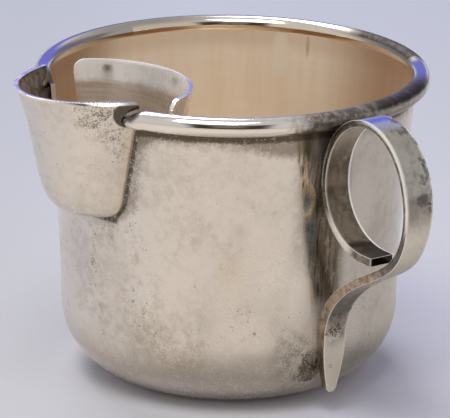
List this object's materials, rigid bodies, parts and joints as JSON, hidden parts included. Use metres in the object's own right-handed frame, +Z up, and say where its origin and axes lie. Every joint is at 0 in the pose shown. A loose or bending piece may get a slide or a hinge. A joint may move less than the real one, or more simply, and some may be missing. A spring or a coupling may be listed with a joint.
{
  "type": "child's cup with spout",
  "caption": "Low round metal cup with a beaded rim, a pouring spout on its wall behind an inside guard, and a strip handle bent into a finger loop.",
  "frame": {"origin": "centre of the flat base, on the cup's axis", "axes": "+Z up along the cup's axis, +X from the axis towards the handle, -Y from the axis towards the spout"},
  "size_m": [0.0975, 0.0849, 0.0617],
  "materials": {
    "bowl_silver": "worn polish outside, thin brushed gilding inside",
    "wire_silver": "polished",
    "spout_silver": "worn polish with small pits",
    "guard_silver": "polished",
    "handle_silver": "worn polish with dark tarnish"
  },
  "bodies": {
    "root": {"cup_bowl": "bowl_silver", "rim_wire": "wire_silver", "spout_shell": "spout_silver", "splash_guard": "guard_silver", "handle_strip": "handle_silver"}
  },
  "joints": []
}
